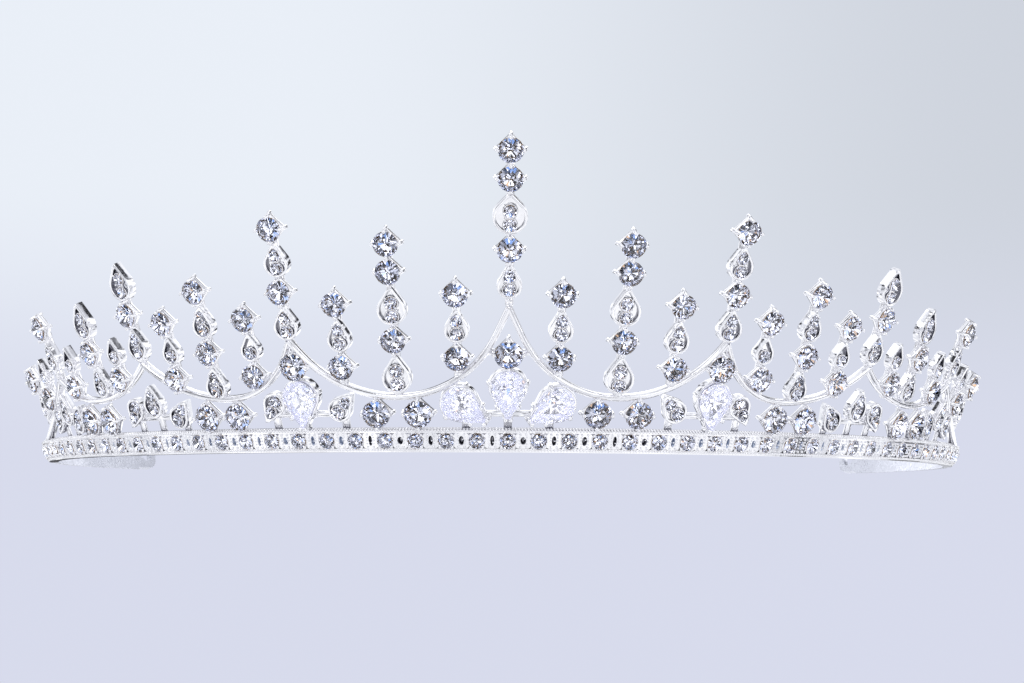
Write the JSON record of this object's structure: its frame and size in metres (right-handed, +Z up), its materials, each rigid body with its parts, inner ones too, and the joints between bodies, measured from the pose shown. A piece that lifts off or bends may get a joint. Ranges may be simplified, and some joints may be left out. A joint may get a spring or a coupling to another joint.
{
  "type": "bridal tiara",
  "caption": "Silver-plated bridal tiara: crystal-set rail on an open band, swag wires carrying leaning spires of claw-set stones and drop plaques, ring ends.",
  "frame": {"origin": "centre of the head circle, in the plane of the rail's flat underside", "axes": "+Z up from the rail to the spires, -Y to the front centre spire, +X to the wearer's left"},
  "size_m": [0.1468, 0.1295, 0.0419],
  "materials": {
    "silver_plate": "bright silver-tone plated casting, softly worn edges",
    "band_plate": "bright silver-tone plated strip, finely drawn",
    "foiled_crystal": "faceted clear glass with a silver foil back and brownish foil edge",
    "pear_zirconia": "faceted clear zirconia with a faint lavender tint"
  },
  "bodies": {
    "root": {"back_band_left": "band_plate", "back_band_right": "band_plate", "base_rail": "silver_plate", "end_ring_left": "band_plate", "end_ring_right": "band_plate", "gallery_centre": "silver_plate", "gallery_cluster_1_left": "silver_plate", "gallery_cluster_1_right": "silver_plate", "gallery_cluster_2_left": "silver_plate", "gallery_cluster_2_right": "silver_plate", "gallery_cluster_3_left": "silver_plate", "gallery_cluster_3_right": "silver_plate", "gallery_round_stones": "foiled_crystal", "gallery_settings": "silver_plate", "pear_stones": "pear_zirconia", "plaque_stones": "foiled_crystal", "rail_stones": "foiled_crystal", "spire_centre": "silver_plate", "spire_peak_1_left": "silver_plate", "spire_peak_1_right": "silver_plate", "spire_peak_2_left": "silver_plate", "spire_peak_2_right": "silver_plate", "spire_peak_3_left": "silver_plate", "spire_peak_3_right": "silver_plate", "spire_round_stones": "foiled_crystal", "spire_short_1_left": "silver_plate", "spire_short_1_right": "silver_plate", "spire_short_2_left": "silver_plate", "spire_short_2_right": "silver_plate", "spire_short_3_left": "silver_plate", "spire_short_3_right": "silver_plate", "spire_short_4_left": "silver_plate", "spire_short_4_right": "silver_plate", "spire_short_5_left": "silver_plate", "spire_short_5_right": "silver_plate", "spire_short_6_left": "silver_plate", "spire_short_6_right": "silver_plate", "spire_short_7_left": "silver_plate", "spire_short_7_right": "silver_plate", "spire_short_8_left": "silver_plate", "spire_short_8_right": "silver_plate", "spire_tall_1_left": "silver_plate", "spire_tall_1_right": "silver_plate", "spire_tall_2_left": "silver_plate", "spire_tall_2_right": "silver_plate", "spire_tall_3_left": "silver_plate", "spire_tall_3_right": "silver_plate", "swag_1_left": "silver_plate", "swag_1_right": "silver_plate", "swag_2_left": "silver_plate", "swag_2_right": "silver_plate", "swag_3_left": "silver_plate", "swag_3_right": "silver_plate", "swag_4_left": "silver_plate", "swag_4_right": "silver_plate"}
  },
  "joints": []
}
